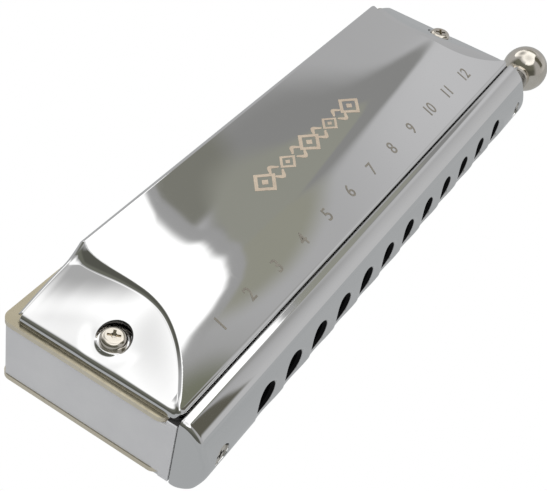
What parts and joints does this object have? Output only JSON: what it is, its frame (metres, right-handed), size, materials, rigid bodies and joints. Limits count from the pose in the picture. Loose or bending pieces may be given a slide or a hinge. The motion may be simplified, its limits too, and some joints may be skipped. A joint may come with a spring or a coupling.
{
  "type": "slide chromatic harmonica",
  "caption": "Chromatic mouth organ with chromed stamped covers, round-holed chrome mouthpiece, moulded comb, reed plates and a spring-returned slide with a ball button.",
  "frame": {"origin": "centre of the flat resting face of the lower cover", "axes": "+X along the instrument toward the slide button, -Y toward the player's mouth, +Z from the lower cover to the upper cover"},
  "size_m": [0.1554, 0.0416, 0.0282],
  "materials": {
    "comb_plastic": "moulded, fine satin",
    "reed_plate_brass": "satin, pale",
    "reed_brass": "fine ground",
    "rivet_brass": "polished",
    "valve_film": "thin matt film",
    "plate_screw": "plain",
    "cover_chrome": "mirror polished",
    "mouthpiece_chrome": "mirror polished",
    "screw_nickel": "nickel plated",
    "slide_metal": "ground flat",
    "button_nickel": "polished nickel, slightly warm",
    "spring_steel": "drawn wire",
    "sleeve_rubber": "soft clear-cut tube"
  },
  "bodies": {
    "instrument": {"comb": "comb_plastic", "upper_reed_plate": "reed_plate_brass", "lower_reed_plate": "reed_plate_brass", "upper_blow_reeds": "reed_brass", "upper_draw_reeds": "reed_brass", "upper_blow_rivets": "rivet_brass", "upper_draw_rivets": "rivet_brass", "upper_outer_valves": "valve_film", "upper_inner_valves": "valve_film", "upper_plate_screws": "plate_screw", "upper_cover": "cover_chrome", "upper_cover_screws": "screw_nickel", "lower_blow_reeds": "reed_brass", "lower_draw_reeds": "reed_brass", "lower_blow_rivets": "rivet_brass", "lower_draw_rivets": "rivet_brass", "lower_outer_valves": "valve_film", "lower_inner_valves": "valve_film", "lower_plate_screws": "plate_screw", "lower_cover": "cover_chrome", "lower_cover_screws": "screw_nickel", "mouthpiece": "mouthpiece_chrome", "mouthpiece_screws": "screw_nickel", "slide_backing_plate": "slide_metal", "slide_channel": "slide_metal", "spring_post": "spring_steel", "slide_spring_fixed_leg": "spring_steel", "slide_stop_sleeves": "sleeve_rubber"},
    "slide_assembly": {"slide": "slide_metal", "slide_button": "button_nickel"},
    "spring_arm": {"slide_spring": "spring_steel"}
  },
  "joints": [
    {"name": "slide_travel", "type": "slide", "parent": "instrument", "child": "slide_assembly", "axis": [-1, 0, 0], "range_m": [0, 0.0045], "stiffness_N_per_m": 250, "springref_m": -0.0048},
    {"name": "spring_swing", "type": "hinge", "parent": "instrument", "child": "spring_arm", "pos_m": [-0.0621, -0.02595, 0.0098], "axis": [0, -1, 0], "range_deg": [0, 28.4]}
  ],
  "couplings": [
    {"joint": "spring_swing", "follows": "slide_travel", "rad_per_m": 109.76}
  ]
}
